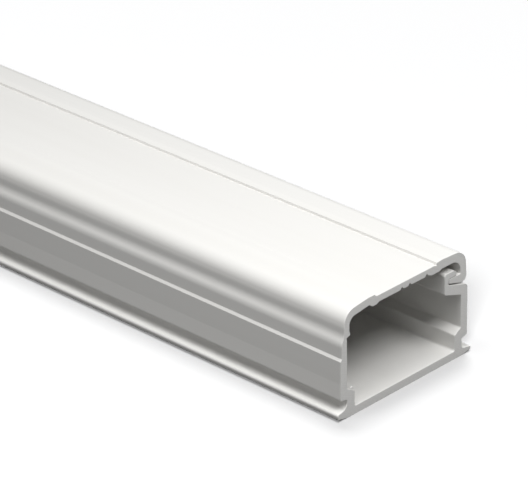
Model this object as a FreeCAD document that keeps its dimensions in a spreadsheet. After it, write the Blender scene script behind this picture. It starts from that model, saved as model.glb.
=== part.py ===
"""Cord cover raceway: one extruded stick of rigid white vinyl, cut square at both ends.

The section is a trough with two thin side flanges, and a lid that hangs on the top of the left
wall by a thin hinge line and hooks under a lip on the right wall. It is drawn closed, as the stick
is stored and as it is used. Lengths are in millimetres. X runs across the base from the hinge side
to the latch side, Y runs along the stick and Z points up from the underside of the base.
"""

import FreeCAD, Part
import math
import os
import Sketcher

NODE = "raceway"

# Driving sizes: the name of each, its value and what it measures.
DRIVING_SIZES = [
    ("StockLength", 400.0, "length of the stick from cut end to cut end"),
    ("BaseWidth", 38.0, "width over the tips of the two flanges"),
    ("OverallHeight", 23.25, "height of the raised strips of the lid above the underside"),
    ("BaseThickness", 1.7, "thickness of the floor"),
    ("WallThickness", 1.85, "thickness of both side walls above the step"),
    ("FootThickness", 2.05, "thickness of both side walls below the step"),
    ("FlangeReach", 2.65, "how far each flange stands out past the foot of its wall"),
    ("FlangeRoot", 1.5, "thickness of a flange where it meets its wall"),
    ("FlangeEdge", 0.9, "thickness of a flange at its tip"),
    ("FlangeLift", 0.2, "how far the tip of a flange stands off the wall"),
    ("FlangeNose", 0.25, "radius of both edges of the tip of a flange"),
    ("FlangeFillet", 0.9, "radius between a wall and its flange"),
    ("FloorFillet", 0.4, "radius between a wall and the floor or the shelf"),
    ("JogHeight", 3.7, "height at which the outside of a wall starts to step outwards"),
    ("JogRise", 0.45, "height over which the outside steps outwards"),
    ("JogLift", 1.45, "how much higher the same step starts on the inside"),
    ("LedgeRise", 1.1, "height over which the inside steps outwards"),
    ("JogRadius", 0.35, "radius of the bends of that step"),
    ("HingeJog", 1.85, "how far the hinge wall steps outwards"),
    ("LatchJog", 1.55, "how far the latch wall steps outwards"),
    ("HingeDrop", 6.2, "depth of the hinge line below the top of the lid"),
    ("HingeNeck", 1.0, "thickness of the plastic left at the hinge line"),
    ("NotchFall", 0.35, "how far the inside notch of the hinge slopes down, and its bead up"),
    ("BeadReach", 0.3, "how far the bead above the notch stands in from the skirt"),
    ("BeadRise", 0.75, "height over which that bead runs out into the skirt"),
    ("ShoulderStep", 0.65, "how far the hinge wall stands out past the skirt of the lid"),
    ("ShoulderDrop", 1.6, "height of the sloping shoulder outside the hinge"),
    ("ShoulderRise", 0.6, "how far the top of that shoulder lies above the hinge line"),
    ("ShoulderRadius", 3.6, "radius of the two soft bends of that shoulder"),
    ("ShoulderRoot", 1.0, "height from the foot of the shoulder down to the top of the trough"),
    ("SillDrop", 4.45, "depth of the outside sill of the hinge wall below the hinge line"),
    ("SillRise", 0.55, "height of the slope of that sill"),
    ("SillDepth", 0.4, "how far the wall steps in above the sill"),
    ("LidSkin", 1.45, "thickness of the sunk middle panel of the lid"),
    ("StripRise", 0.5, "how far the two side strips stand above the middle panel"),
    ("StepRun", 0.6, "width of the slope between a strip and the panel"),
    ("HingeStripWidth", 8.4, "width of the strip on the hinge side"),
    ("HingeStripSkin", 1.65, "thickness of the strip on the hinge side"),
    ("HingeStripFall", 0.8, "how far that strip falls from its crest to the corner"),
    ("HingeCrest", 1.7, "width of the level crest of that strip"),
    ("LatchStripWidth", 8.3, "width of the strip on the latch side"),
    ("LatchStripFall", 0.35, "how far that strip falls from its crest to the corner"),
    ("LatchCrest", 1.5, "width of the level crest of that strip"),
    ("LatchStripSkin", 2.0, "thickness of the strip on the latch side"),
    ("RibWidth", 1.2, "width of the low rib under each step of the lid"),
    ("RibDrop", 0.35, "how far that rib stands down from the panel"),
    ("RibRun", 0.8, "width of each sloping side of that rib"),
    ("HingeCorner", 2.7, "outside radius of the lid over the hinge"),
    ("HingeCornerInside", 1.4, "inside radius of the same corner"),
    ("LatchCorner", 3.2, "outside radius of the lid over the latch"),
    ("LatchCornerInside", 2.4, "inside radius of the same corner"),
    ("SkirtThickness", 1.5, "thickness of the short skirt on the hinge side at its foot"),
    ("SkirtLean", 0.85, "how far the skirt leans in towards the top of the lid"),
    ("SkirtBendDrop", 3.75, "depth below the top of the lid at which that lean starts"),
    ("SkirtBend", 5.0, "radius of the soft bend where it starts"),
    ("LegThickness", 1.45, "thickness of the leg that carries the barb"),
    ("LegInset", 0.7, "how far the leg stands in from the outside of the latch wall"),
    ("LegFlare", 0.45, "how far the leg leans out towards its toe"),
    ("LegToe", 1.3, "radius of the outside bottom corner of the leg"),
    ("HookGap", 0.12, "free space between the barb and the lip that it hooks under"),
    ("BarbClearance", 0.35, "free space between the barb and the shelf below it"),
    ("BarbDepth", 0.9, "thickness of the barb at its tip"),
    ("LipClearance", 1.75, "free space between the lip and the lid above it"),
    ("LipSetback", 5.55, "how far the lip stands in from the outside of the latch wall"),
    ("LipThickness", 1.1, "thickness of the lip"),
    ("HeadReach", 2.0, "how far the head of the lip stands out over the barb"),
    ("HeadFlat", 1.0, "how far the level top of the head runs out beyond the lip"),
    ("HeadDepth", 1.3, "depth of that head at the lip"),
    ("HeadNose", 0.6, "depth of that head at its tip"),
    ("ShelfRise", 1.65, "how far the shelf rises from the latch wall to the lip"),
    ("ShelfSkin", 1.75, "thickness of the shelf, measured upright"),
    ("ShelfShoulder", 1.1, "radius of the outside top corner of the latch wall"),
    ("HeadRadius", 0.3, "radius of the edges of the head and the barb"),
    ("LipRadius", 0.5, "radius of the larger edges of the lip and the shelf"),
    ("EdgeRadius", 0.15, "radius of the fine edges left by the die"),
    ("GrooveWidth", 0.9, "width of each fine groove under the lid"),
    ("GrooveDepth", 0.55, "depth of each of those grooves"),
    ("FirstGroove", 2.9, "distance of the first groove from the step on the latch side"),
    ("SecondGroove", 7.7, "distance of the second groove from that step"),
    ("ThirdGroove", 9.9, "distance of the third groove from that step"),
]

# Places that follow from the sizes: the name of each, its formula and what it marks. Distances
# across the stick are from its middle, and heights are above the underside of the base.
PLACES = [
    ("BaseEdge", "BaseWidth / 2", "tip of a flange"),
    ("FootFace", "BaseEdge - FlangeReach", "outside of both walls below the step"),
    ("FootInner", "FootFace - FootThickness", "inside of both walls below the step"),
    ("HingeFace", "FootFace + HingeJog", "outside of the hinge wall"),
    ("HingeInner", "HingeFace - WallThickness", "inside of the hinge wall"),
    ("SillFace", "HingeFace - SillDepth", "outside of the hinge wall above its sill"),
    ("LatchFace", "FootFace + LatchJog", "outside of the latch wall"),
    ("LatchInner", "LatchFace - WallThickness", "inside of the latch wall"),
    ("JogTop", "JogHeight + JogRise", "top of the step on the outside"),
    ("LedgeFoot", "JogHeight + JogLift", "foot of the step on the inside"),
    ("LedgeTop", "LedgeFoot + LedgeRise", "top of the step on the inside"),
    ("PanelTop", "OverallHeight - StripRise", "top of the middle panel"),
    ("PanelUnder", "PanelTop - LidSkin", "underside of the middle panel"),
    ("RibFloor", "PanelUnder - RibDrop", "underside of the two ribs"),
    ("StripUnder", "OverallHeight - LatchStripSkin", "underside of the strip over the latch"),
    ("HingeNotch", "OverallHeight - HingeDrop", "height of the hinge line"),
    ("ShoulderTop", "HingeNotch + ShoulderRise", "top of the shoulder"),
    ("ShoulderFoot", "ShoulderTop - ShoulderDrop", "foot of the shoulder"),
    ("TroughTop", "ShoulderFoot - ShoulderRoot", "where the hinge wall ends and the hinge starts"),
    ("SillHeight", "HingeNotch - SillDrop", "lower edge of the sill"),
    ("SkirtFace", "SillFace - ShoulderStep", "outside of the skirt"),
    ("SkirtTop", "SkirtFace - SkirtLean", "outside of the skirt at the top of the lid"),
    ("SkirtBendHeight", "OverallHeight - SkirtBendDrop", "where the skirt starts to lean in"),
    ("SkirtInner", "SkirtFace - SkirtThickness", "inside of the skirt"),
    ("BeadFace", "SkirtInner - BeadReach", "inner edge of the bead"),
    ("NotchFace", "SillFace - ShoulderStep / 2 - HingeNeck", "bottom of the inside notch"),
    ("HingeStep", "HingeStripWidth - SkirtFace", "inner edge of the strip on the hinge side"),
    ("SlopedWidth", "HingeStripWidth - HingeCrest - SkirtLean", "width of that strip's slope"),
    ("LegFace", "LatchFace - LegInset", "outside of the leg"),
    ("LegInner", "LegFace - LegThickness", "inside of the leg"),
    ("ToeFace", "LegFace + LegFlare", "outside of the leg at its toe"),
    ("LatchStep", "LegFace - LatchStripWidth", "inner edge of the strip on the latch side"),
    ("LipHeight", "StripUnder - LipClearance", "top of the lip"),
    ("HeadFloor", "LipHeight - HeadDepth", "underside of the head of the lip"),
    ("LipFace", "LatchFace - LipSetback", "outside of the lip"),
    ("LipBack", "LipFace - LipThickness", "inside of the lip"),
    ("HeadTip", "LipFace + HeadReach", "tip of the head of the lip"),
    ("BarbTop", "HeadFloor - HookGap", "top of the barb"),
    ("BarbTip", "LipFace + HookGap", "tip of the barb"),
    ("ShelfTop", "BarbTop - BarbDepth - BarbClearance", "shelf where it meets the lip"),
    ("LatchTop", "ShelfTop - ShelfRise", "outside top corner of the latch wall"),
    ("ShelfSlope", "ShelfRise / LipSetback", "rise of the shelf for each unit across"),
    ("BarbFoot", "BarbTop - BarbDepth - ShelfSlope * HookGap", "underside of the barb at its tip"),
    ("ToeFoot", "BarbFoot - ShelfSlope * ToeFace + ShelfSlope * BarbTip", "underside of the toe"),
    ("StripSlope", "HingeStripFall / SlopedWidth", "fall of the hinge strip for each unit across"),
    ("StripEdge", "OverallHeight - HingeStripFall", "outer edge of the hinge strip"),
    ("StripCorner", "StripEdge + StripSlope * SkirtTop - StripSlope * SkirtInner", "strip over SkirtInner"),
]


def fill_sheet(sheet, rows, formula):
    """Write one row for each name: its meaning in column A and its value or formula in column B."""
    for number, (name, value, meaning) in enumerate(rows, start=1):
        cell = "B%d" % number
        sheet.set("A%d" % number, meaning)
        sheet.set(cell, ("=" + value) if formula else repr(value))
        sheet.setAlias(cell, name)


def full_name(expression):
    """Put the sheet in front of each name in an expression, so that another object can read it."""
    for rows, sheet_name in ((DRIVING_SIZES, "Sizes"), (PLACES, "Places")):
        for name, _, _ in rows:
            expression = replace_word(expression, name, sheet_name + "." + name)
    return expression


def replace_word(text, word, new_word):
    """Replace a whole word in a formula whose words are set apart by blanks or a leading minus."""
    words = []
    for piece in text.split(" "):
        sign = "-" if piece.startswith("-") else ""
        bare = piece[len(sign):]
        words.append(sign + new_word if bare == word else piece)
    return " ".join(words)


def tangent_points(before, corner, after, radius):
    """Where an arc of this radius touches the two sides of a corner, and the arc's centre."""
    back = (before - corner).normalize()
    ahead = (after - corner).normalize()
    half_angle = back.getAngle(ahead) / 2
    reach = radius / math.tan(half_angle)
    middle = (back + ahead).normalize()
    centre = corner + middle * (radius / math.sin(half_angle))
    return corner + back * reach, corner + ahead * reach, centre


def add_outline(sketch, corners):
    """Draw one closed outline, counterclockwise, and bind each corner to the sheets.

    A corner is (across, height) or (across, height, radius), each a formula of names. A corner
    with a radius gets an arc that is tangent to both of its sides.
    """
    upright = FreeCAD.Vector(0, 0, 1)
    count = len(corners)
    points = []
    for corner in corners:
        across = float(sketch.evalExpression(full_name(corner[0])))
        height = float(sketch.evalExpression(full_name(corner[1])))
        points.append(FreeCAD.Vector(across, height, 0))
    arrive = list(points)
    leave = list(points)
    centres = [None] * count
    for i, corner in enumerate(corners):
        if len(corner) == 3:
            radius = float(sketch.evalExpression(full_name(corner[2])))
            found = tangent_points(points[i - 1], points[i], points[(i + 1) % count], radius)
            arrive[i], leave[i], centres[i] = found

    sides = []
    for i in range(count):
        side = Part.LineSegment(leave[i], arrive[(i + 1) % count])
        sides.append(sketch.addGeometry(side, False))

    rules = []
    formulas = []

    def bind(rule, formula):
        formulas.append((len(rules), full_name(formula)))
        rules.append(rule)

    for i, corner in enumerate(corners):
        side_in = sides[i - 1]
        side_out = sides[i]
        if centres[i] is None:
            rules.append(Sketcher.Constraint("Coincident", side_in, 2, side_out, 1))
            bind(Sketcher.Constraint("DistanceX", side_out, 1, points[i].x), corner[0])
            bind(Sketcher.Constraint("DistanceY", side_out, 1, points[i].y), corner[1])
            continue
        turns_left = (points[i] - arrive[i]).cross(leave[i] - points[i]).z > 0
        first, last = (arrive[i], leave[i]) if turns_left else (leave[i], arrive[i])
        centre = centres[i]
        start = math.atan2(first.y - centre.y, first.x - centre.x)
        end = math.atan2(last.y - centre.y, last.x - centre.x)
        if end < start:
            end += 2 * math.pi
        circle = Part.Circle(centre, upright, first.distanceToPoint(centre))
        arc = sketch.addGeometry(Part.ArcOfCircle(circle, start, end), False)
        mark = sketch.addGeometry(Part.Point(points[i]), True)
        arc_in, arc_out = (1, 2) if turns_left else (2, 1)
        rules.append(Sketcher.Constraint("Tangent", side_in, 2, arc, arc_in))
        rules.append(Sketcher.Constraint("Tangent", arc, arc_out, side_out, 1))
        rules.append(Sketcher.Constraint("PointOnObject", mark, 1, side_in))
        rules.append(Sketcher.Constraint("PointOnObject", mark, 1, side_out))
        bind(Sketcher.Constraint("DistanceX", mark, 1, points[i].x), corner[0])
        bind(Sketcher.Constraint("DistanceY", mark, 1, points[i].y), corner[1])
        bind(Sketcher.Constraint("Radius", arc, first.distanceToPoint(centre)), corner[2])

    offset = sketch.ConstraintCount
    sketch.addConstraint(rules)
    for number, formula in formulas:
        sketch.setExpression("Constraints[%d]" % (offset + number), formula)


def new_sketch(body, name):
    """An empty sketch on the upright plane across the middle of the stick."""
    sketch = body.newObject("Sketcher::SketchObject", name)
    plane = [p for p in body.Origin.OriginFeatures if p.Role == "XZ_Plane"][0]
    sketch.AttachmentSupport = [(plane, "")]
    sketch.MapMode = "FlatFace"
    return sketch


def extrude(body, kind, name, sketch):
    """Run a sketch through the whole stick, half of its length to each side."""
    feature = body.newObject(kind, name)
    feature.Profile = sketch
    feature.SideType = "Symmetric"
    feature.setExpression("Length", "Sizes.StockLength")
    feature.Refine = True
    sketch.Visibility = False
    return feature


def trough_corners():
    """The floor with its flanges, the hinge wall, and the latch wall with its shelf and lip."""
    return [
        # Underside of the base, then the flange on the latch side, whose tip stands off a little.
        ("-FootFace", "0"),
        ("FootFace", "0"),
        ("BaseEdge", "FlangeLift", "FlangeNose"),
        ("BaseEdge", "FlangeLift + FlangeEdge", "FlangeNose"),
        ("FootFace", "FlangeRoot", "FlangeFillet"),
        # Outside of the latch wall, up to the shelf.
        ("FootFace", "JogHeight", "JogRadius"),
        ("LatchFace", "JogTop", "JogRadius"),
        ("LatchFace", "LatchTop", "ShelfShoulder"),
        # Lip and its head, which leans out over the barb.
        ("LipFace", "ShelfTop", "EdgeRadius"),
        ("LipFace", "HeadFloor", "EdgeRadius"),
        ("HeadTip", "HeadFloor", "HeadRadius"),
        ("HeadTip", "HeadFloor + HeadNose", "HeadRadius"),
        ("LipFace + HeadFlat", "LipHeight", "LipRadius"),
        ("LipBack", "LipHeight", "LipRadius"),
        # Underside of the shelf and inside of the latch wall.
        ("LipBack", "ShelfTop - ShelfSkin", "LipRadius"),
        ("LatchInner", "LatchTop - ShelfSkin", "FloorFillet"),
        ("LatchInner", "LedgeTop", "JogRadius"),
        ("FootInner", "LedgeFoot", "JogRadius"),
        # Floor.
        ("FootInner", "BaseThickness", "FloorFillet"),
        ("-FootInner", "BaseThickness", "FloorFillet"),
        # Inside of the hinge wall, its top, and its outside with the sill.
        ("-FootInner", "LedgeFoot", "JogRadius"),
        ("-HingeInner", "LedgeTop", "JogRadius"),
        ("-HingeInner", "TroughTop"),
        ("-SillFace", "TroughTop"),
        ("-SillFace", "SillHeight + SillRise", "EdgeRadius"),
        ("-HingeFace", "SillHeight", "EdgeRadius"),
        ("-HingeFace", "JogTop", "JogRadius"),
        ("-FootFace", "JogHeight", "JogRadius"),
        # Flange on the hinge side.
        ("-FootFace", "FlangeRoot", "FlangeFillet"),
        ("-BaseEdge", "FlangeLift + FlangeEdge", "FlangeNose"),
        ("-BaseEdge", "FlangeLift", "FlangeNose"),
    ]


def lid_corners():
    """The hinge line, the lid with its two raised strips, and the leg with its barb."""
    return [
        # Foot of the hinge, standing on the hinge wall, then the notch and its bead.
        ("-SillFace", "TroughTop"),
        ("-HingeInner", "TroughTop"),
        ("-HingeInner", "HingeNotch - NotchFall"),
        ("-NotchFace", "HingeNotch"),
        ("-BeadFace", "HingeNotch + NotchFall", "HeadRadius"),
        ("-SkirtInner", "HingeNotch + NotchFall + BeadRise", "LipRadius"),
        # Underside of the strip over the hinge, and the rib under its step.
        ("-SkirtInner", "StripCorner - HingeStripSkin", "HingeCornerInside"),
        ("HingeStep - RibWidth / 2 - RibRun", "OverallHeight - HingeStripSkin", "LipRadius"),
        ("HingeStep - RibWidth / 2", "RibFloor", "HeadRadius"),
        ("HingeStep + RibWidth / 2", "RibFloor", "HeadRadius"),
        # Underside of the middle panel.
        ("HingeStep + RibWidth / 2 + RibRun", "PanelUnder", "LipRadius"),
        ("LatchStep - RibWidth / 2 - RibRun", "PanelUnder", "LipRadius"),
        ("LatchStep - RibWidth / 2", "RibFloor", "HeadRadius"),
        ("LatchStep + RibWidth / 2", "RibFloor", "HeadRadius"),
        ("LatchStep + RibWidth / 2 + RibRun", "StripUnder", "LipRadius"),
        # Inside of the leg and the barb that hooks under the head of the lip.
        ("LegInner", "StripUnder", "LatchCornerInside"),
        ("LegInner", "BarbTop", "EdgeRadius"),
        ("BarbTip", "BarbTop", "HeadRadius"),
        ("BarbTip", "BarbFoot", "HeadRadius"),
        ("ToeFace", "ToeFoot", "LegToe"),
        # Top of the lid, from the latch side back to the hinge side.
        ("LegFace", "OverallHeight - LatchStripFall", "LatchCorner"),
        ("LatchStep + LatchCrest", "OverallHeight"),
        ("LatchStep", "OverallHeight", "EdgeRadius"),
        ("LatchStep - StepRun", "PanelTop", "EdgeRadius"),
        ("HingeStep + StepRun", "PanelTop", "EdgeRadius"),
        ("HingeStep", "OverallHeight", "EdgeRadius"),
        ("HingeStep - HingeCrest", "OverallHeight"),
        ("-SkirtTop", "StripEdge", "HingeCorner"),
        ("-SkirtFace", "SkirtBendHeight", "SkirtBend"),
        # Shoulder outside the hinge.
        ("-SkirtFace", "ShoulderTop", "ShoulderRadius"),
        ("-SillFace", "ShoulderFoot", "ShoulderRadius"),
    ]


def groove_corners(distance):
    """One fine groove under the lid: a notch with its point upwards, wider below the skin."""
    middle = "LatchStep - " + distance
    return [
        (middle + " - GrooveWidth", "PanelUnder - GrooveDepth"),
        (middle + " + GrooveWidth", "PanelUnder - GrooveDepth"),
        (middle, "PanelUnder + GrooveDepth"),
    ]


def check(part_objects):
    """Stop before anything is written if an object failed or a shape isn't one sound solid."""
    for item in doc.Objects:
        if "Invalid" in item.State or "Error" in item.State:
            raise RuntimeError("%s failed: %s" % (item.Label, item.State))
    for item in part_objects:
        shape = item.Shape
        if shape.isNull() or not shape.isValid() or len(shape.Solids) != 1:
            raise RuntimeError("%s is not one sound solid" % item.Label)


doc = FreeCAD.newDocument("CordCoverRaceway")

sizes = doc.addObject("Spreadsheet::Sheet", "Sizes")
fill_sheet(sizes, DRIVING_SIZES, formula=False)
places = doc.addObject("Spreadsheet::Sheet", "Places")
doc.recompute()
fill_sheet(places, [(n, full_name(f), m) for n, f, m in PLACES], formula=True)
doc.recompute()

raceway = doc.addObject("PartDesign::Body", "Raceway")
raceway.Label = NODE

trough_outline = new_sketch(raceway, "TroughOutline")
add_outline(trough_outline, trough_corners())
trough = extrude(raceway, "PartDesign::Pad", "Trough", trough_outline)
doc.recompute()

lid_outline = new_sketch(raceway, "LidOutline")
add_outline(lid_outline, lid_corners())
lid = extrude(raceway, "PartDesign::Pad", "Lid", lid_outline)
doc.recompute()

groove_outline = new_sketch(raceway, "GrooveOutline")
for distance_name in ("FirstGroove", "SecondGroove", "ThirdGroove"):
    add_outline(groove_outline, groove_corners(distance_name))
grooves = extrude(raceway, "PartDesign::Pocket", "Grooves", groove_outline)
raceway.Tip = grooves
raceway.Placement = FreeCAD.Placement()
doc.recompute()

if not grooves.Shape.Volume < lid.Shape.Volume:
    raise RuntimeError("the grooves took nothing away")
check([raceway])

os.makedirs("parts", exist_ok=True)
raceway.Shape.exportStep("parts/%s.step" % NODE)
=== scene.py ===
"""Cord cover raceway: one stick of white vinyl with its hinged lid snapped shut under the lip.

Places are in the frame of the CAD: X runs across the base from the hinge side to the latch side,
Y along the stick, and Z up from the underside of the base. Sizes of the stick are in millimetres,
and lamps and camera are placed in metres.
"""

import bpy
import numpy as np
from mathutils import Matrix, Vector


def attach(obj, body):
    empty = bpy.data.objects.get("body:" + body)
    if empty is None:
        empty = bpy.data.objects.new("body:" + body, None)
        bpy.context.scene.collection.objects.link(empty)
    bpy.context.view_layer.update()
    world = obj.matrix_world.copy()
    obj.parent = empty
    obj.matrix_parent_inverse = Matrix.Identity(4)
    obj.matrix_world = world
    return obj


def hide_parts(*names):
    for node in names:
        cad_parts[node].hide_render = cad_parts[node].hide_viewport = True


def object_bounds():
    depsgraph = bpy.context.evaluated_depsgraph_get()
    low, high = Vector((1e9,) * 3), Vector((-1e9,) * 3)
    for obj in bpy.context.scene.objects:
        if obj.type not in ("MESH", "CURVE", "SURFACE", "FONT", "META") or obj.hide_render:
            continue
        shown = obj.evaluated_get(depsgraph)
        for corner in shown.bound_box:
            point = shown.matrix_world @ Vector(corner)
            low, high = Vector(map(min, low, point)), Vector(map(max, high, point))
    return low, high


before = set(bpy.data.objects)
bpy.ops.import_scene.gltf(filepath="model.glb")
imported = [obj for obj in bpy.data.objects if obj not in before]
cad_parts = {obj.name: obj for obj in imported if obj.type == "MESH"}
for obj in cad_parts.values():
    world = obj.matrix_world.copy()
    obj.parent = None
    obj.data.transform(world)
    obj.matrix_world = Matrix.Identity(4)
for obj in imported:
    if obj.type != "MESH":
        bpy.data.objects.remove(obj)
cad_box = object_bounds()


# Stick, the section that the die gives it
# One extrusion of rigid white vinyl: a trough with two thin flanges, and a lid that hangs on the
# hinge wall by a thin line and hooks under a lip on the latch wall. Its corners are listed
# counterclockwise as distance across, height and radius, in millimetres.

MM = 0.001
BASE_EDGE = round(cad_box[1][0] / MM, 2)
LID_HEIGHT = round(cad_box[1][2] / MM, 2)
WALL = 1.85
DIE_EDGE = 0.1
FINE_EDGE = 0.15
SOFT_EDGE = 0.3
ROUND_EDGE = 0.5

# Underside of the floor and the two flanges, whose tips stand a little off the table. The flange
# on the hinge side is the higher one, with a wider fillet.
FLANGE_REACH = 2.65
FOOT_WALL = 2.05
FOOT_FACE = BASE_EDGE - FLANGE_REACH
FOOT_INNER = FOOT_FACE - FOOT_WALL
FLOOR = 1.7
FLOOR_FILLET = 0.4
FLANGE_ROOT = 1.5
FLANGE_OVER = 1.05
FLANGE_UNDER = 0.35
FLANGE_NOSE = 0.25
FLANGE_FILLET = 0.9
HINGE_SIDE_RISE = 0.5
HINGE_FILLET = 1.6
UNDERCUT = 0.15
latch_flange = [
    (-FOOT_FACE, 0.0, DIE_EDGE),
    (FOOT_FACE, 0.0, DIE_EDGE),
    (BASE_EDGE, FLANGE_UNDER, FLANGE_NOSE),
    (BASE_EDGE, FLANGE_OVER, FLANGE_NOSE),
    (FOOT_FACE, FLANGE_ROOT, FLANGE_FILLET),
]
hinge_flange = [
    (-FOOT_FACE, FLANGE_ROOT + HINGE_SIDE_RISE, HINGE_FILLET),
    (-BASE_EDGE, FLANGE_OVER + HINGE_SIDE_RISE, ROUND_EDGE),
    (UNDERCUT - BASE_EDGE, FLANGE_UNDER + UNDERCUT, FLANGE_NOSE),
]

# Latch wall, which steps outwards above its foot, and the shelf that slopes up from it to the lip.
STEP_FOOT = 3.7
STEP_TOP = STEP_FOOT + 0.45
STEP_BEND = 0.35
LEDGE_FOOT = STEP_FOOT + 1.45
LEDGE_TOP = LEDGE_FOOT + 1.1
LATCH_FACE = FOOT_FACE + 1.55
LATCH_INNER = LATCH_FACE - WALL
LATCH_TOP = LID_HEIGHT - 8.07
SHELF_SHOULDER = 1.1
SHELF_SKIN = 1.75
latch_outside = [
    (FOOT_FACE, STEP_FOOT, STEP_BEND),
    (LATCH_FACE, STEP_TOP, STEP_BEND),
    (LATCH_FACE, LATCH_TOP, SHELF_SHOULDER),
]
latch_inside = [
    (LATCH_INNER, LATCH_TOP - SHELF_SKIN, FLOOR_FILLET),
    (LATCH_INNER, LEDGE_TOP, STEP_BEND),
    (FOOT_INNER, LEDGE_FOOT, STEP_BEND),
    (FOOT_INNER, FLOOR, FLOOR_FILLET),
]

# Lip, whose head leans out over the barb of the lid.
LIP_FACE = LATCH_FACE - 5.55
LIP_BACK = LIP_FACE - 1.1
LIP_TOP = LID_HEIGHT - 3.75
SHELF_TOP = LATCH_TOP + 1.65
HEAD_FLOOR = LIP_TOP - 1.3
HEAD_NOSE = HEAD_FLOOR + 0.7
HEAD_FLAT = LIP_FACE + 1.6
HEAD_TIP = LIP_FACE + 2.3
lip = [
    (LIP_FACE, SHELF_TOP, FINE_EDGE),
    (LIP_FACE, HEAD_FLOOR, FINE_EDGE),
    (HEAD_TIP, HEAD_FLOOR, SOFT_EDGE),
    (HEAD_TIP, HEAD_NOSE, SOFT_EDGE),
    (HEAD_FLAT, LIP_TOP, ROUND_EDGE),
    (LIP_BACK, LIP_TOP, ROUND_EDGE),
    (LIP_BACK, SHELF_TOP - SHELF_SKIN, ROUND_EDGE),
]

# Hinge wall, with the notch and the bead of its hinge line on the inside. On its outside are a
# sill, a faint crease halfway down, and the step above its foot.
HINGE_FACE = FOOT_FACE + 1.85
HINGE_INNER = HINGE_FACE - WALL
HINGE_LINE = LID_HEIGHT - 6.2
SILL_FACE = HINGE_FACE - 0.4
SILL = HINGE_LINE - 4.45
SILL_RISE = 0.55
CREASE = 7.8
CREASE_LEAN = 0.07
HINGE_STEP_RISE = 0.2
SHOULDER_TOP = HINGE_LINE + 0.6
SHOULDER_FOOT = SHOULDER_TOP - 1.6
SHOULDER_BEND = 3.6
SKIRT_FACE = SILL_FACE - 0.65
SKIRT_INNER = SKIRT_FACE - 1.5
NOTCH = 0.35
NOTCH_FACE = HINGE_INNER + 0.125
BEAD_FACE = SKIRT_INNER - 0.3
BEAD_TOP = HINGE_LINE + NOTCH + 0.75
hinge_inside = [
    (-FOOT_INNER, FLOOR, FLOOR_FILLET),
    (-FOOT_INNER, LEDGE_FOOT, STEP_BEND),
    (-HINGE_INNER, LEDGE_TOP, STEP_BEND),
    (-HINGE_INNER, HINGE_LINE - NOTCH, DIE_EDGE),
    (-NOTCH_FACE, HINGE_LINE, DIE_EDGE),
    (-BEAD_FACE, HINGE_LINE + NOTCH, SOFT_EDGE),
    (-SKIRT_INNER, BEAD_TOP, ROUND_EDGE),
]
hinge_outside = [
    (-SKIRT_FACE, SHOULDER_TOP, SHOULDER_BEND),
    (-SILL_FACE, SHOULDER_FOOT, SHOULDER_BEND),
    (-SILL_FACE, SILL + SILL_RISE, FINE_EDGE),
    (CREASE_LEAN - HINGE_FACE, SILL, FINE_EDGE),
    (CREASE_LEAN - HINGE_FACE, CREASE, ROUND_EDGE),
    (-HINGE_FACE - CREASE_LEAN, STEP_TOP + HINGE_STEP_RISE, STEP_BEND),
    (-FOOT_FACE, STEP_FOOT + HINGE_STEP_RISE, STEP_BEND),
]

# Top of the lid, from the latch side back to the hinge side: two raised strips and a sunk panel,
# with a fine scored line along the foot of the latch strip.
LEG_FACE = LATCH_FACE - 0.7
STRIP_RISE = 0.5
STEP_RUN = 0.6
STEP_FALL = 0.12
STEP_LEAN = 0.1
SCORE_DEPTH = 0.2
SCORE_FLOOR = 0.25
SCORE_SLOPE = 0.15
SHARP_EDGE = 0.03
LATCH_STEP = LEG_FACE - 8.3
LATCH_CREST = LATCH_STEP + 1.5
LATCH_CORNER = 3.2
LATCH_STRIP_EDGE = LID_HEIGHT - 0.35
PANEL = LID_HEIGHT - STRIP_RISE
SCORE_NEAR = LATCH_STEP - STEP_LEAN
SCORE_FAR = SCORE_NEAR - SCORE_FLOOR
SCORE_BOTTOM = PANEL - SCORE_DEPTH
HINGE_STEP = SKIRT_FACE - 8.4
HINGE_CREST = HINGE_STEP + 1.7
SKIRT_TOP = SKIRT_FACE - 0.45
HINGE_STRIP_EDGE = LID_HEIGHT - 0.7
SKIRT_LEAN_FOOT = LID_HEIGHT - 3.75
SKIRT_BEND = 5.0
HINGE_CORNER = 3.0
lid_top = [
    (LEG_FACE, LATCH_STRIP_EDGE, LATCH_CORNER),
    (LATCH_CREST, LID_HEIGHT, DIE_EDGE),
    (LATCH_STEP, LID_HEIGHT - STEP_FALL, SHARP_EDGE),
    (SCORE_NEAR, SCORE_BOTTOM, SHARP_EDGE),
    (SCORE_FAR, SCORE_BOTTOM, SHARP_EDGE),
    (SCORE_FAR - SCORE_SLOPE, PANEL, SHARP_EDGE),
    (-HINGE_STEP + STEP_RUN, PANEL, FINE_EDGE),
    (-HINGE_STEP, LID_HEIGHT, FINE_EDGE),
    (-HINGE_CREST, LID_HEIGHT, DIE_EDGE),
    (-SKIRT_TOP, HINGE_STRIP_EDGE, HINGE_CORNER),
    (-SKIRT_FACE, SKIRT_LEAN_FOOT, SKIRT_BEND),
]

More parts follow.
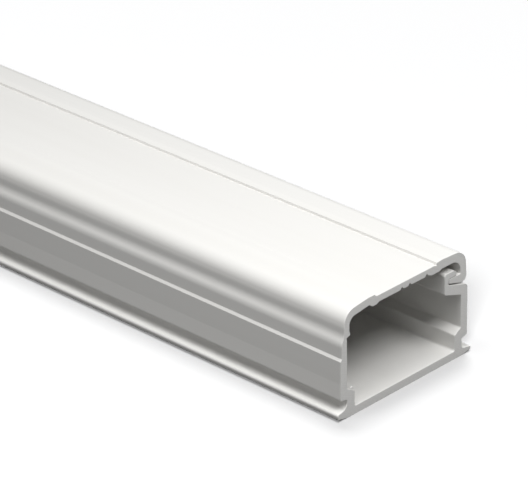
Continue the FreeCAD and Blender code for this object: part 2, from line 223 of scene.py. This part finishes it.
# Underside of the lid: a low rib under each step, the one on the latch side wider, and three fine
# grooves between the ribs. GROOVES says how far from the latch step each of them runs.
PANEL_UNDER = PANEL - 1.45
RIB_FLOOR = PANEL_UNDER - 0.35
RIB_HALF = 0.6
RIB_SPREAD = RIB_HALF + 0.8
LATCH_RIB_WIDER = 0.9
HINGE_STRIP_UNDER = LID_HEIGHT - 1.65
LATCH_STRIP_UNDER = LID_HEIGHT - 2.0
HINGE_CORNER_UNDER = HINGE_STRIP_EDGE - 1.65
HINGE_CORNER_INSIDE = 1.7
GROOVES = (9.9, 7.7, 2.9)
GROOVE_HALF = 0.45
GROOVE_DEPTH = 0.55
lid_underside = [
    (-SKIRT_INNER, HINGE_CORNER_UNDER, HINGE_CORNER_INSIDE),
    (-HINGE_STEP - RIB_SPREAD, HINGE_STRIP_UNDER, ROUND_EDGE),
    (-HINGE_STEP - RIB_HALF, RIB_FLOOR, SOFT_EDGE),
    (-HINGE_STEP + RIB_HALF, RIB_FLOOR, SOFT_EDGE),
    (-HINGE_STEP + RIB_SPREAD, PANEL_UNDER, ROUND_EDGE),
]
for distance in GROOVES:
    groove = LATCH_STEP - distance
    lid_underside += [
        (groove - GROOVE_HALF, PANEL_UNDER, DIE_EDGE),
        (groove, PANEL_UNDER + GROOVE_DEPTH, DIE_EDGE),
        (groove + GROOVE_HALF, PANEL_UNDER, DIE_EDGE),
    ]
lid_underside += [
    (LATCH_STEP - RIB_SPREAD - LATCH_RIB_WIDER, PANEL_UNDER, ROUND_EDGE),
    (LATCH_STEP - RIB_HALF - LATCH_RIB_WIDER, RIB_FLOOR, SOFT_EDGE),
    (LATCH_STEP + RIB_HALF, RIB_FLOOR, SOFT_EDGE),
    (LATCH_STEP + RIB_SPREAD, LATCH_STRIP_UNDER, ROUND_EDGE),
]

# Leg on the latch side, whose barb hooks under the head of the lip with little play.
HOOK_GAP = 0.12
BARB = 0.9
LEG_INNER = LEG_FACE - 1.45
LATCH_CORNER_INSIDE = 2.4
BARB_TOP = HEAD_FLOOR - HOOK_GAP
BARB_TIP = LIP_FACE + HOOK_GAP
SHELF_SLOPE = (SHELF_TOP - LATCH_TOP) / (LATCH_FACE - LIP_FACE)
BARB_FOOT = BARB_TOP - BARB - SHELF_SLOPE * HOOK_GAP
TOE_FACE = LEG_FACE + 0.45
TOE_FOOT = BARB_FOOT - SHELF_SLOPE * (TOE_FACE - BARB_TIP)
TOE = 1.3
leg = [
    (LEG_INNER, LATCH_STRIP_UNDER, LATCH_CORNER_INSIDE),
    (LEG_INNER, BARB_TOP, FINE_EDGE),
    (BARB_TIP, BARB_TOP, SOFT_EDGE),
    (BARB_TIP, BARB_FOOT, SOFT_EDGE),
    (TOE_FACE, TOE_FOOT, TOE),
]

die_corners = latch_flange + latch_outside + lip + latch_inside + hinge_inside
die_corners += lid_underside + leg + lid_top + hinge_outside + hinge_flange

# Points on the arc of each corner, and how far past its two ends the extra points stand.
ARC_POINTS = 9
GUARD = 0.05


def die_outline(corners):
    """The section as points with outward normals, both as arrays of (across, height).

    At each corner the heading turns evenly from one side to the next. A point of its arc is the
    arc's centre plus or minus the radius times the normal at that heading, plus where the corner
    stands out and minus where it turns in. One more point lies on each side just before and just
    after the arc, so that the flats shade flat.
    """
    place = corners[:, :2]
    radius = corners[:, 2]
    side = np.roll(place, -1, axis=0) - place
    length = np.linalg.norm(side, axis=1)
    along_out = side / length[:, None]
    along_in = np.roll(along_out, 1, axis=0)
    heading = np.arctan2(along_in[:, 1], along_in[:, 0])
    cross = along_in[:, 0] * along_out[:, 1] - along_in[:, 1] * along_out[:, 0]
    turn = np.arctan2(cross, np.sum(along_in * along_out, axis=1))
    reach = radius * np.tan(np.abs(turn) / 2)
    flat_out = length - reach - np.roll(reach, -1)
    flat_in = np.roll(flat_out, 1)

    angle = heading[:, None] + turn[:, None] * np.linspace(0.0, 1.0, ARC_POINTS)
    normal = np.stack([np.sin(angle), -np.cos(angle)], axis=2)
    bulge = (np.sign(turn) * radius)[:, None]
    start = place - along_in * reach[:, None]
    centre = start - bulge * normal[:, 0]
    arc = centre[:, None] + bulge[:, None] * normal

    before = start - along_in * np.minimum(GUARD, flat_in / 4)[:, None]
    after = arc[:, -1] + along_out * np.minimum(GUARD, flat_out / 4)[:, None]
    points = np.concatenate([before[:, None], arc, after[:, None]], axis=1)
    normals = np.concatenate([normal[:, :1], normal, normal[:, -1:]], axis=1)
    return points.reshape(-1, 2), normals.reshape(-1, 2)


outline, outward = die_outline(np.array(die_corners))


# Stick, its length and its two sawn ends
# The stick runs straight from the die and is cut square with a fine-toothed saw. The saw leaves
# the edge of each cut slightly broken, and three crumbs of vinyl on the hinge wall's near cut.

HALF_LENGTH = round(cad_box[1][1] / MM, 2)
SAW_BREAK = 0.07
SAW_WAVER = 0.09
PLAIN_FROM = 0.5
PLAIN_RINGS = 33


def edge_break(count, seed):
    """How far the saw breaks the edge at each point of the outline, in millimetres.

    It is the usual depth times one plus a sum of waves round the outline. Each wave goes round a
    whole number of times, with a phase of its own.
    """
    random = np.random.default_rng(seed)
    turns = np.array([23, 41, 67, 101, 149])
    phase = random.uniform(0.0, 2 * np.pi, len(turns))
    along = np.linspace(0.0, 2 * np.pi, count, endpoint=False)
    waves = np.sin(turns[:, None] * along + phase[:, None]).sum(axis=0)
    return SAW_BREAK * (1.0 + SAW_WAVER * waves)


def stick_rings(points, normals):
    """The stick as a grid of rings times outline points.

    A ring is the outline at one place along the stick, and the plain rings stand evenly between
    the ends. At a cut end the outline shrinks along its normals on a quarter circle, by the depth
    of the broken edge.
    """
    plain = np.linspace(PLAIN_FROM - HALF_LENGTH, HALF_LENGTH - PLAIN_FROM, PLAIN_RINGS)
    quarter = np.radians([90.0, 60.0, 30.0, 0.0])
    near = edge_break(len(points), seed=1)
    far = edge_break(len(points), seed=2)
    shrink = np.concatenate([
        near * (1 - np.cos(quarter))[:, None],
        np.zeros((len(plain), len(points))),
        far * (1 - np.cos(quarter[::-1]))[:, None],
    ])
    along = np.concatenate([
        -HALF_LENGTH + near * (1 - np.sin(quarter))[:, None],
        np.broadcast_to(plain[:, None], (len(plain), len(points))),
        HALF_LENGTH - far * (1 - np.sin(quarter[::-1]))[:, None],
    ])
    ring = points[None] - normals[None] * shrink[:, :, None]
    return np.stack([ring[:, :, 0], along, ring[:, :, 1]], axis=2)


def ring_faces(rings, sides, first=0):
    """Four-sided faces from each ring to the next, the last point of a ring joined to its first.

    The first point of the first ring has the number given as first.
    """
    ring, side = np.meshgrid(np.arange(rings - 1), np.arange(sides), indexing="ij")
    ahead = (side + 1) % sides
    corners = [ring * sides + ahead, ring * sides + side]
    corners += [(ring + 1) * sides + side, (ring + 1) * sides + ahead]
    return (first + np.stack(corners, axis=2).reshape(-1, 4)).tolist()


def end_faces(rings, sides, first=0):
    """One face over the first ring and one over the last, both looking outwards."""
    near = first + np.arange(sides)
    far = near[::-1] + (rings - 1) * sides
    return [near.tolist(), far.tolist()]


def crumb_rings(centre, half_size, seed):
    """A crumb of vinyl as rings from its top to its bottom.

    It is a ball stretched to its half sizes, with its radius swelled and pinched by two waves
    round about. It is cut off flat a little short of each pole, so that a face closes it there.
    """
    random = np.random.default_rng(seed)
    phase = random.uniform(0.0, 2 * np.pi, 2)
    pole = 0.3
    polar = np.linspace(pole, np.pi - pole, 7)[:, None]
    round_about = np.linspace(0.0, 2 * np.pi, 12, endpoint=False)[None]
    swell = 1 + 0.2 * np.sin(polar) * np.sin(2 * round_about + phase[0])
    swell = swell + 0.15 * np.sin(polar) * np.sin(3 * round_about + phase[1])
    ball = np.stack([
        swell * np.sin(polar) * np.cos(round_about),
        swell * np.sin(polar) * np.sin(round_about),
        np.broadcast_to(np.cos(polar), swell.shape),
    ], axis=2)
    return np.array(centre) + ball * np.array(half_size)


rings = stick_rings(outline, outward)
ring_count, point_count = rings.shape[:2]
vertices = [rings.reshape(-1, 3)]
faces = end_faces(ring_count, point_count)
cut_count = len(faces)
faces += ring_faces(ring_count, point_count)
crumbs_from = len(faces)

# Crumbs on the near cut of the hinge wall, two at its outer face and one at its inner ledge: where
# each sits, and its half sizes.
CRUMB_PLACE = 0.2 - HALF_LENGTH
CRUMBS = [
    ((0.35 - HINGE_FACE, CRUMB_PLACE, SILL - 1.5), (0.22, 0.14, 0.16)),
    ((0.4 - HINGE_FACE, CRUMB_PLACE, SILL - 2.6), (0.2, 0.14, 0.18)),
    ((-0.7 - FOOT_INNER, CRUMB_PLACE, LEDGE_TOP - 0.45), (0.52, 0.14, 0.38)),
]
for seed, (centre, half_size) in enumerate(CRUMBS, start=11):
    first = sum(len(block) for block in vertices)
    crumb = crumb_rings(centre, half_size, seed)
    vertices.append(crumb.reshape(-1, 3))
    faces += ring_faces(*crumb.shape[:2], first)
    faces += end_faces(*crumb.shape[:2], first)

skin = bpy.data.meshes.new("raceway_stick")
skin.from_pydata((np.concatenate(vertices) * MM).tolist(), [], faces)
stick = bpy.data.objects.new("raceway_stick", skin)
bpy.context.scene.collection.objects.link(stick)


# Stick, the drawn vinyl of its sides
# Rigid white vinyl with the satin gloss of the die, which draws it out in faint lines along the
# stick. Broad bands of it are a little creamier, where the melt ran warmer.


def node_maker(material):
    """Two short calls for the nodes of a material or world: one adds a node, one joins sockets."""
    tree = material.node_tree

    def add(kind, **settings):
        node = tree.nodes.new(kind)
        for name, value in settings.items():
            setattr(node, name, value)
        return node

    return add, tree.links.new


VINYL_IOR = 1.54


def vinyl(name, tone, roughness):
    """Material of one finish of the vinyl, with its two node calls and its shader."""
    material = bpy.data.materials.new(name)
    material.use_nodes = True
    add, join = node_maker(material)
    shader = material.node_tree.nodes["Principled BSDF"]
    shader.inputs["Base Color"].default_value = (*tone, 1.0)
    shader.inputs["Roughness"].default_value = roughness
    shader.inputs["IOR"].default_value = VINYL_IOR
    return material, add, join, shader


VINYL_WHITE = (0.78, 0.773, 0.751)
VINYL_CREAM = (0.765, 0.757, 0.732)
SATIN = 0.4
SATIN_GLOSSIER = 0.34
SATIN_DULLER = 0.46
LINES_PER_METRE = (2200.0, 5.0, 2200.0)
LINE_DEPTH = 0.000004
BANDS_PER_METRE = (180.0, 6.0, 180.0)

drawn, add, join, shader = vinyl("white_vinyl_drawn", VINYL_WHITE, SATIN)
where = add("ShaderNodeTexCoord")

# Fine lines of the die: noise squeezed across the stick and stretched along it.
stretch = add("ShaderNodeMapping")
stretch.inputs["Scale"].default_value = LINES_PER_METRE
join(where.outputs["Object"], stretch.inputs["Vector"])
lines = add("ShaderNodeTexNoise")
lines.inputs["Scale"].default_value = 1.0
lines.inputs["Detail"].default_value = 3.0
join(stretch.outputs["Vector"], lines.inputs["Vector"])

# Broad bands of white and cream.
broad = add("ShaderNodeMapping")
broad.inputs["Scale"].default_value = BANDS_PER_METRE
join(where.outputs["Object"], broad.inputs["Vector"])
bands = add("ShaderNodeTexNoise")
bands.inputs["Scale"].default_value = 1.0
bands.inputs["Detail"].default_value = 2.0
join(broad.outputs["Vector"], bands.inputs["Vector"])

tone = add("ShaderNodeMix", data_type="RGBA")
tone.inputs["A"].default_value = (*VINYL_CREAM, 1.0)
tone.inputs["B"].default_value = (*VINYL_WHITE, 1.0)
tone_range = add("ShaderNodeMapRange")
tone_range.inputs["From Min"].default_value = 0.3
tone_range.inputs["From Max"].default_value = 0.6
join(bands.outputs["Fac"], tone_range.inputs["Value"])
join(tone_range.outputs["Result"], tone.inputs["Factor"])
join(tone.outputs["Result"], shader.inputs["Base Color"])

# The lines are glossier and duller by turns, and stand out very slightly.
gloss = add("ShaderNodeMapRange")
gloss.inputs["From Min"].default_value = 0.3
gloss.inputs["From Max"].default_value = 0.7
gloss.inputs["To Min"].default_value = SATIN_GLOSSIER
gloss.inputs["To Max"].default_value = SATIN_DULLER
join(lines.outputs["Fac"], gloss.inputs["Value"])
join(gloss.outputs["Result"], shader.inputs["Roughness"])

relief = add("ShaderNodeBump")
relief.inputs["Strength"].default_value = 0.5
relief.inputs["Distance"].default_value = LINE_DEPTH
join(lines.outputs["Fac"], relief.inputs["Height"])
join(relief.outputs["Normal"], shader.inputs["Normal"])


# Stick, the sawn vinyl of its ends
# The same vinyl where the saw has cut it: duller, with the shallow arcs that the teeth
# of the round blade leave. Its paler tone is partly painted light: it makes the cut ends brighter
# than the drawn sides. The crumbs are of it too.

BLADE_CENTRE = (-0.07, 0.0, -0.11)
# These sawn tones sit above the drawn vinyl's partly as painted light on the cut ends.
SAWN_WHITE = (0.88, 0.874, 0.85)
SAWN_DARKER = (0.84, 0.834, 0.812)
SAWN_PALER = (0.9, 0.894, 0.872)
SAWN_DULL = 0.6
ARCS_PER_METRE = 4200.0
GRAINS_PER_METRE = 2600.0
TOOTH_DEPTH = 0.00002

sawn, add, join, shader = vinyl("white_vinyl_sawn", SAWN_WHITE, SAWN_DULL)
where = add("ShaderNodeTexCoord")

# Arcs round the middle of the blade, from the distance to it.
blade = add("ShaderNodeVectorMath", operation="SUBTRACT")
blade.inputs[1].default_value = BLADE_CENTRE
join(where.outputs["Object"], blade.inputs[0])
flatten = add("ShaderNodeVectorMath", operation="MULTIPLY")
flatten.inputs[1].default_value = (1.0, 0.0, 1.0)
join(blade.outputs["Vector"], flatten.inputs[0])
distance = add("ShaderNodeVectorMath", operation="LENGTH")
join(flatten.outputs["Vector"], distance.inputs[0])
teeth = add("ShaderNodeTexNoise", noise_dimensions="1D")
teeth.inputs["Scale"].default_value = ARCS_PER_METRE
teeth.inputs["Detail"].default_value = 2.0
join(distance.outputs["Value"], teeth.inputs["W"])

# Fine grain of torn vinyl, added to the arcs.
grain = add("ShaderNodeTexNoise")
grain.inputs["Scale"].default_value = GRAINS_PER_METRE
grain.inputs["Detail"].default_value = 3.0
join(where.outputs["Object"], grain.inputs["Vector"])
cut = add("ShaderNodeMath", operation="ADD")
join(teeth.outputs["Fac"], cut.inputs[0])
join(grain.outputs["Fac"], cut.inputs[1])

sawn_tone = add("ShaderNodeMix", data_type="RGBA")
sawn_tone.inputs["A"].default_value = (*SAWN_DARKER, 1.0)
sawn_tone.inputs["B"].default_value = (*SAWN_PALER, 1.0)
sawn_range = add("ShaderNodeMapRange")
sawn_range.inputs["From Min"].default_value = 0.7
sawn_range.inputs["From Max"].default_value = 1.3
join(cut.outputs["Value"], sawn_range.inputs["Value"])
join(sawn_range.outputs["Result"], sawn_tone.inputs["Factor"])
join(sawn_tone.outputs["Result"], shader.inputs["Base Color"])
tooth_marks = add("ShaderNodeBump")
tooth_marks.inputs["Strength"].default_value = 0.6
tooth_marks.inputs["Distance"].default_value = TOOTH_DEPTH
join(cut.outputs["Value"], tooth_marks.inputs["Height"])
join(tooth_marks.outputs["Normal"], shader.inputs["Normal"])

# The two cuts and the crumbs are sawn, and the cuts shade flat.
skin.materials.append(drawn)
skin.materials.append(sawn)
number = np.arange(len(faces))
is_cut = number < cut_count
is_sawn = is_cut | (number >= crumbs_from)
skin.polygons.foreach_set("material_index", is_sawn.astype(np.int32))
skin.polygons.foreach_set("use_smooth", ~is_cut)
skin.update()

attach(stick, "root")
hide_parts("raceway")


# Table under the stick
# A plain white sheet that holds the stick's soft shadow. It is dark to every ray but the camera's,
# so that it throws hardly any light back up at the stick.

SHEET_HALF = 3.0
PAPER_SEEN = (0.4, 0.4, 0.402)
PAPER_UNSEEN = (0.035, 0.035, 0.035)

sheet = bpy.data.meshes.new("table_sheet")
edge = np.array([[-1, -1, 0], [1, -1, 0], [1, 1, 0], [-1, 1, 0]]) * SHEET_HALF
sheet.from_pydata(edge.tolist(), [], [(0, 1, 2, 3)])
table = bpy.data.objects.new("table_sheet", sheet)
bpy.context.scene.collection.objects.link(table)
paper = bpy.data.materials.new("table_paper")
paper.use_nodes = True
add, join = node_maker(paper)
shader = paper.node_tree.nodes["Principled BSDF"]
shader.inputs["Roughness"].default_value = 0.9
shader.inputs["Specular IOR Level"].default_value = 0.0
ray = add("ShaderNodeLightPath")
paper_tone = add("ShaderNodeMix", data_type="RGBA")
paper_tone.inputs["A"].default_value = (*PAPER_UNSEEN, 1.0)
paper_tone.inputs["B"].default_value = (*PAPER_SEEN, 1.0)
join(ray.outputs["Is Camera Ray"], paper_tone.inputs["Factor"])
join(paper_tone.outputs["Result"], shader.inputs["Base Color"])
sheet.materials.append(paper)


# Studio light
# Four soft boxes light the stick alone: above its hinge side, above its near end, low beside the
# hinge wall, and weakly from beside the latch wall. Four lamps light the sheet alone: one high
# overhead, and three from behind, beside and in front, for the soft shadows round the near end.


def hang_lamp(name, place, aim, size, watts, lit):
    """A round lamp at a place, turned to look at another, that lights one object alone.

    Its axes are the direction away from what it looks at, one square to both that and the stick,
    and the cross product of the two.
    """
    lamp = bpy.data.lights.new(name, "AREA")
    lamp.shape = "DISK"
    lamp.size = size
    lamp.energy = watts
    box = bpy.data.objects.new(name, lamp)
    away = np.array(place) - np.array(aim)
    away = away / np.linalg.norm(away)
    across = np.cross([0.0, 1.0, 0.0], away)
    across = across / np.linalg.norm(across)
    stand = np.eye(4)
    stand[:3, 0] = across
    stand[:3, 1] = np.cross(away, across)
    stand[:3, 2] = away
    stand[:3, 3] = place
    box.matrix_world = Matrix(stand.tolist())
    bpy.context.scene.collection.objects.link(box)
    beam = bpy.data.collections.new(name + "_beam")
    beam.objects.link(lit)
    box.light_linking.receiver_collection = beam


NEAR_END = (0.0, -0.2, 0.01)
SOFT_BOX = 0.25
hang_lamp("side_box", (-0.152, -0.22, 0.485), NEAR_END, SOFT_BOX, 1.54, stick)
hang_lamp("end_box", (-0.02, -0.44, 0.447), NEAR_END, SOFT_BOX, 1.69, stick)
hang_lamp("low_box", (-0.475, -0.2, 0.15), NEAR_END, SOFT_BOX, 0.23, stick)
hang_lamp("back_box", (0.36, -0.12, 0.1), NEAR_END, SOFT_BOX, 0.36, stick)
hang_lamp("overhead_lamp", (-0.15, -0.35, 6.0), (-0.15, -0.35, 0.0), 0.4, 304.0, table)
hang_lamp("lamp_behind", (0.34, 0.11, 1.59), NEAR_END, 0.47, 21.2, table)
hang_lamp("lamp_beside", (-0.47, -0.03, 1.5), NEAR_END, 0.35, 5.0, table)
hang_lamp("lamp_in_front", (-1.22, -1.04, 1.05), NEAR_END, 0.4, 37.0, table)

# The room is white where the camera sees it, and dim to all else.
ROOM_SEEN = 1.0
ROOM_UNSEEN = 0.15
world = bpy.data.worlds.new("studio")
bpy.context.scene.world = world
world.use_nodes = True
add, join = node_maker(world)
room = world.node_tree.nodes["Background"]
ray = add("ShaderNodeLightPath")
seen = add("ShaderNodeMath", operation="MAXIMUM")
join(ray.outputs["Is Camera Ray"], seen.inputs[0])
join(ray.outputs["Is Transmission Ray"], seen.inputs[1])
strength = add("ShaderNodeMapRange")
strength.inputs["To Min"].default_value = ROOM_UNSEEN
strength.inputs["To Max"].default_value = ROOM_SEEN
join(seen.outputs["Value"], strength.inputs["Value"])
join(strength.outputs["Result"], room.inputs["Strength"])
room.inputs["Color"].default_value = (1.0, 1.0, 1.0, 1.0)


# Camera
# A long lens above the hinge side of the near end, as the picture was taken. It looks along the
# stick from there, turned half right and tilted down.

CAMERA_PLACE = (-0.432651, -0.583859, 0.328932)
CAMERA_TURN = np.radians(-45.789)
CAMERA_RISE = np.radians(27.35)
CAMERA_ROLL = np.radians(-0.955)
LENS_IN_PIXELS = 3478.6
PICTURE_WIDTH = 528

lens = bpy.data.cameras.new("camera")
lens.sensor_fit = "HORIZONTAL"
lens.sensor_width = 36.0
lens.lens = LENS_IN_PIXELS * lens.sensor_width / PICTURE_WIDTH
lens.clip_start = 0.01
lens.clip_end = 20.0
camera = bpy.data.objects.new("camera", lens)
backwards = np.array([
    np.sin(CAMERA_TURN) * np.cos(CAMERA_RISE),
    -np.cos(CAMERA_TURN) * np.cos(CAMERA_RISE),
    np.sin(CAMERA_RISE),
])
rightwards = np.array([np.cos(CAMERA_TURN), np.sin(CAMERA_TURN), 0.0])
upwards = np.cross(backwards, rightwards)
picture_right = np.cos(CAMERA_ROLL) * rightwards + np.sin(CAMERA_ROLL) * upwards
picture_up = -np.sin(CAMERA_ROLL) * rightwards + np.cos(CAMERA_ROLL) * upwards
pose = np.eye(4)
pose[:3, 0] = picture_right
pose[:3, 1] = picture_up
pose[:3, 2] = backwards
pose[:3, 3] = CAMERA_PLACE
camera.matrix_world = Matrix(pose.tolist())
bpy.context.scene.collection.objects.link(camera)
bpy.context.scene.camera = camera

bpy.context.scene.view_settings.view_transform = "Standard"
